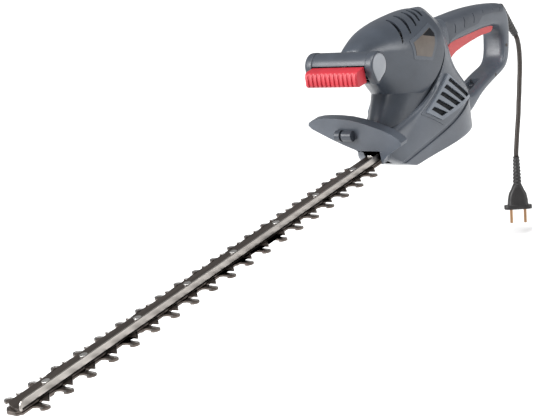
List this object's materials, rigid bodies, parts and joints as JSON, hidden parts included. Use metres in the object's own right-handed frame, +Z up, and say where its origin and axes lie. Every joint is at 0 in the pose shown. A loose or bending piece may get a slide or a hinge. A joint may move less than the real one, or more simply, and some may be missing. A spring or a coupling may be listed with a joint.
{
  "type": "hedge trimmer",
  "caption": "Corded electric hedge trimmer: twin reciprocating comb blades on a bar, hand guard, vertical motor under a hood, front switch handle and rear D handle.",
  "frame": {"origin": "middle of the rear grip, where the operator's hand holds the tool", "axes": "-X points along the blade to its tip, +X to the back, +Z up with the blade level, -Y to the tool's left side"},
  "size_m": [0.9843, 0.129, 0.3606],
  "materials": {
    "body_plastic": "moulded slate grey, fine grain",
    "hood_plastic": "moulded dark grey, fine grain",
    "guard_plastic": "moulded slate grey",
    "light_plastic": "light grey inserts",
    "red_plastic": "red switch pieces",
    "label": "plain brushed grey-brown plate",
    "blade_steel": "dark oiled cutting steel, ground edges",
    "bar_steel": "rolled steel bar with a bright flange",
    "zinc": "zinc-plated fasteners",
    "plate_steel": "greenish grey coated sheet",
    "gear_steel": "hardened gear steel",
    "bronze": "sintered bronze",
    "lamination": "stacked laminations",
    "copper": "varnished copper wire and bars",
    "bearing": "ground bearing steel",
    "black_plastic": "black technical plastic",
    "white_plastic": "white switch plungers",
    "capacitor_box": "yellow capacitor case",
    "carbon": "carbon",
    "cord_rubber": "dark brown-black rubber",
    "plug_rubber": "black moulded plug"
  },
  "bodies": {
    "tool_body": {"housing_left": "body_plastic", "housing_right": "body_plastic", "motor_hood": "hood_plastic", "base_cover": "body_plastic", "hand_guard": "guard_plastic", "guard_clip": "hood_plastic", "vent_grille_left": "light_plastic", "vent_grille_right": "light_plastic", "label_plate_left": "label", "label_plate_right": "label", "front_handle": "hood_plastic", "handle_cap_left": "light_plastic", "handle_cap_right": "light_plastic", "front_bar_springs": "zinc", "front_switch": "black_plastic", "trigger_pin": "zinc", "trigger_spring": "zinc", "rear_switch": "black_plastic", "cable_hook": "hood_plastic", "support_bar": "bar_steel", "blade_bolts": "zinc", "blade_nuts": "zinc", "entry_plate": "plate_steel", "crank_bush_low": "bronze", "crank_bush_high": "bronze", "gear_plate": "plate_steel", "motor_bearing_low": "bearing", "motor_bearing_high": "bearing", "stator_core": "lamination", "field_coils": "copper", "motor_bracket": "black_plastic", "brush_holders": "bronze", "carbon_brushes": "carbon", "capacitor": "capacitor_box", "cord_clamp": "black_plastic", "base_screws": "zinc", "housing_screws": "zinc", "strain_relief": "cord_rubber", "power_cord": "cord_rubber", "plug_relief": "plug_rubber", "plug_body": "plug_rubber", "plug_pins": "bronze"},
    "armature": {"motor_shaft": "gear_steel", "motor_pinion": "gear_steel", "armature_core": "lamination", "armature_windings": "copper", "commutator": "copper", "cooling_fan": "black_plastic"},
    "crank": {"drive_gear": "gear_steel", "crank_shaft": "gear_steel", "upper_cam": "gear_steel", "lower_cam": "gear_steel"},
    "lower_blade_body": {"lower_blade": "blade_steel"},
    "upper_blade_body": {"upper_blade": "blade_steel"},
    "trigger": {"rear_trigger": "red_plastic"},
    "rear_plunger": {"rear_switch_plunger": "white_plastic"},
    "front_bar": {"front_switch_bar": "red_plastic"},
    "front_plunger": {"front_switch_plunger": "white_plastic"}
  },
  "joints": [
    {"name": "armature_spin", "type": "hinge", "parent": "tool_body", "child": "armature", "pos_m": [-0.162, 0, -0.096], "axis": [0, 0, 1], "continuous": true},
    {"name": "crank_spin", "type": "hinge", "parent": "tool_body", "child": "crank", "pos_m": [-0.198, 0, -0.096], "axis": [0, 0, 1], "continuous": true},
    {"name": "lower_blade_slide", "type": "slide", "parent": "tool_body", "child": "lower_blade_body", "axis": [1, 0, 0], "range_m": [-0.008, 0.008]},
    {"name": "upper_blade_slide", "type": "slide", "parent": "tool_body", "child": "upper_blade_body", "axis": [1, 0, 0], "range_m": [-0.008, 0.008]},
    {"name": "trigger_pull", "type": "hinge", "parent": "tool_body", "child": "trigger", "pos_m": [0.037, 0, -0.016], "axis": [0, 1, 0], "range_deg": [0, 5.5], "stiffness_Nm_per_rad": 1.5, "springref_deg": -8.59, "deforming": ["trigger_spring"]},
    {"name": "rear_switch_press", "type": "slide", "parent": "tool_body", "child": "rear_plunger", "axis": [0, 0, 1], "range_m": [0, 0.0019]},
    {"name": "front_bar_press", "type": "slide", "parent": "tool_body", "child": "front_bar", "axis": [1, 0, 0], "range_m": [0, 0.005], "stiffness_N_per_m": 900, "springref_m": -0.003, "deforming": ["front_bar_springs"]},
    {"name": "front_switch_press", "type": "slide", "parent": "tool_body", "child": "front_plunger", "axis": [1, 0, 0], "range_m": [0, 0.0016]}
  ],
  "couplings": [
    {"joint": "crank_spin", "follows": "armature_spin", "ratio": -0.2},
    {"joint": "upper_blade_slide", "follows": "lower_blade_slide", "ratio": -1},
    {"joint": "rear_switch_press", "follows": "trigger_pull", "m_per_rad": 0.01875},
    {"joint": "front_switch_press", "follows": "front_bar_press", "ratio": 0.3}
  ]
}
